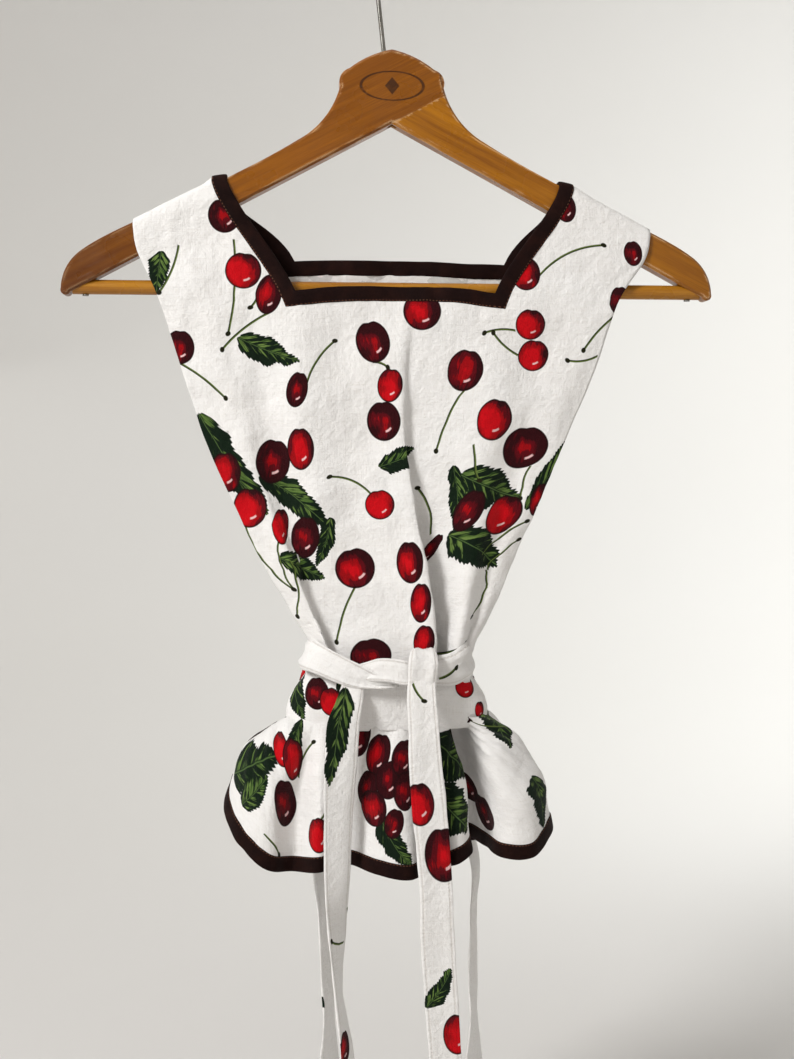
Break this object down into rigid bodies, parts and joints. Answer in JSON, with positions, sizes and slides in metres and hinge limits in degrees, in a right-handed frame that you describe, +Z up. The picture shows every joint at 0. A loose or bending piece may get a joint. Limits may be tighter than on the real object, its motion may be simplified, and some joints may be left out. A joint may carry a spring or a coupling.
{
  "type": "apron on a hanger",
  "caption": "Sleeveless printed cotton apron with a gathered peplum, bound neck and hem and tied waist, hung on a wooden suit hanger with a swivelling wire hook.",
  "frame": {"origin": "inside top of the wire hook, where it rests on its rail or peg", "axes": "+Z up, +X to the viewer's right, the apron's front faces -Y"},
  "size_m": [0.4244, 0.1, 0.848],
  "materials": {
    "steel_wire": "plated wire, slightly tarnished",
    "varnished_wood": "old golden brown varnish, worn at the edges",
    "printed_cotton": "plain weave cotton with a printed fruit pattern",
    "brown_binding": "folded bias binding, stitched along its edge"
  },
  "bodies": {
    "hook": {"hook_wire": "steel_wire", "hook_collar": "steel_wire"},
    "hanger": {"arm_left": "varnished_wood", "arm_right": "varnished_wood", "trouser_bar": "varnished_wood", "bar_nails": "steel_wire"},
    "apron": {"front_bodice": "printed_cotton", "back_bodice": "printed_cotton", "front_neck_binding": "brown_binding", "back_neck_binding": "brown_binding", "front_waistband": "printed_cotton", "back_waistband": "printed_cotton", "front_tie_left": "printed_cotton", "front_tie_right": "printed_cotton", "back_tie_left": "printed_cotton", "back_tie_right": "printed_cotton", "front_knot": "printed_cotton", "back_knot": "printed_cotton", "front_peplum": "printed_cotton", "back_peplum": "printed_cotton", "front_hem_binding": "brown_binding", "back_hem_binding": "brown_binding"},
    "tail_front_left": {"front_tail_left": "printed_cotton"},
    "tail_front_right": {"front_tail_right": "printed_cotton"},
    "tail_back_left": {"back_tail_left": "printed_cotton"},
    "tail_back_right": {"back_tail_right": "printed_cotton"}
  },
  "joints": [
    {"name": "hook_swivel", "type": "hinge", "parent": "hook", "child": "hanger", "pos_m": [0, 0, -0.1342], "axis": [-0.108, 0, 0.9942], "continuous": true},
    {"name": "apron_lift", "type": "slide", "parent": "hanger", "child": "apron", "axis": [0, 0, 1], "range_m": [0, 0.06]},
    {"name": "front_left_tail_swing", "type": "hinge", "parent": "apron", "child": "tail_front_left", "pos_m": [-0.027, -0.0488, -0.5034], "axis": [-1, 0, 0], "range_deg": [0, 35]},
    {"name": "front_right_tail_swing", "type": "hinge", "parent": "apron", "child": "tail_front_right", "pos_m": [0.018, -0.0488, -0.5034], "axis": [-1, 0, 0], "range_deg": [0, 35]},
    {"name": "back_left_tail_swing", "type": "hinge", "parent": "apron", "child": "tail_back_left", "pos_m": [-0.012, 0.0488, -0.5294], "axis": [1, 0, 0], "range_deg": [0, 35]},
    {"name": "back_right_tail_swing", "type": "hinge", "parent": "apron", "child": "tail_back_right", "pos_m": [0.012, 0.0488, -0.5294], "axis": [1, 0, 0], "range_deg": [0, 35]}
  ]
}
